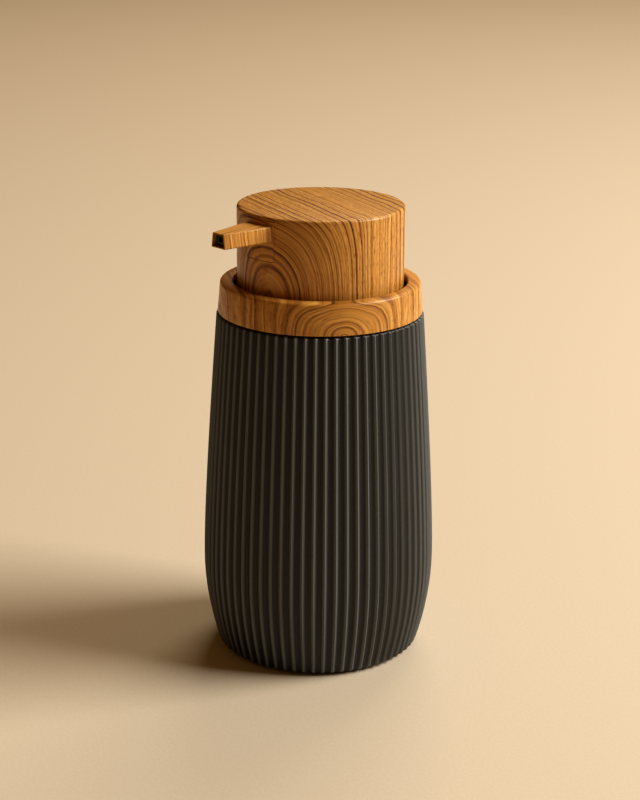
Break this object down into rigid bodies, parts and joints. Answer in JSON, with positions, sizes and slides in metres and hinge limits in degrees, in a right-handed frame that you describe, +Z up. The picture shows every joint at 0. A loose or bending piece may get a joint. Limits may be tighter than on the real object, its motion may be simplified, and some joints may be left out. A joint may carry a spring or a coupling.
{
  "type": "soap pump dispenser",
  "caption": "Countertop soap dispenser: ribbed dark stoneware vessel, wood-grain screw collar and a wide wood-grain pump head with a short tapered spout.",
  "frame": {"origin": "middle of the base pad's underside, which is what the dispenser stands on", "axes": "+Z up along the pump's axis, the spout towards -Y, +X to the spout's left seen from the front"},
  "size_m": [0.082, 0.0876, 0.1604],
  "materials": {
    "stoneware": "matt charcoal, satin on the rib crests",
    "wood_grain": "satin lacquer over straight dark-lined grain",
    "black_plastic": "moulded polypropylene",
    "natural_plastic": "natural, slightly milky polypropylene",
    "white_seal": "soft polyethylene foam and lip seals",
    "black_rubber": "matt silicone",
    "steel": "drawn stainless wire and ground balls"
  },
  "bodies": {
    "vessel_body": {"vessel": "stoneware", "neck_insert": "black_plastic", "insert_seal": "white_seal", "base_pad": "black_rubber"},
    "pump_engine": {"pump_housing": "natural_plastic", "chaplet": "black_plastic", "stem_wiper": "black_rubber", "dip_tube": "natural_plastic", "ball_retainer": "natural_plastic", "return_spring": "steel", "neck_gasket": "white_seal"},
    "closure": {"screw_cap": "black_plastic", "well_cup": "black_plastic", "collar_ring": "wood_grain", "rim_gasket": "black_rubber"},
    "plunger": {"piston": "white_seal"},
    "head": {"stem": "natural_plastic", "actuator_core": "black_plastic", "head_shell": "wood_grain", "spout": "wood_grain", "nozzle_tube": "black_plastic", "nozzle_seal": "black_rubber"},
    "inlet_check": {"inlet_ball": "steel"},
    "outlet_check": {"outlet_ball": "steel"}
  },
  "joints": [
    {"name": "engine_lift", "type": "slide", "parent": "vessel_body", "child": "pump_engine", "axis": [0, 0, 1], "range_m": [0, 0.0085]},
    {"name": "closure_turn", "type": "hinge", "parent": "pump_engine", "child": "closure", "pos_m": [0, 0, 0.1228], "axis": [0, 0, 1], "range_deg": [0, 720]},
    {"name": "pump_stroke", "type": "slide", "parent": "pump_engine", "child": "plunger", "axis": [0, 0, 1], "range_m": [-0.0115, 0], "stiffness_N_per_m": 350, "springref_m": 0.02, "deforming": ["return_spring"]},
    {"name": "head_swivel", "type": "hinge", "parent": "plunger", "child": "head", "pos_m": [0, 0, 0.145], "axis": [0, 0, 1], "continuous": true},
    {"name": "inlet_ball_lift", "type": "slide", "parent": "pump_engine", "child": "inlet_check", "axis": [0, 0, 1], "range_m": [0, 0.0012]},
    {"name": "outlet_ball_lift", "type": "slide", "parent": "head", "child": "outlet_check", "axis": [0, 0, 1], "range_m": [0, 0.0012]}
  ],
  "couplings": [
    {"joint": "engine_lift", "follows": "closure_turn", "m_per_rad": 0.00066845}
  ]
}
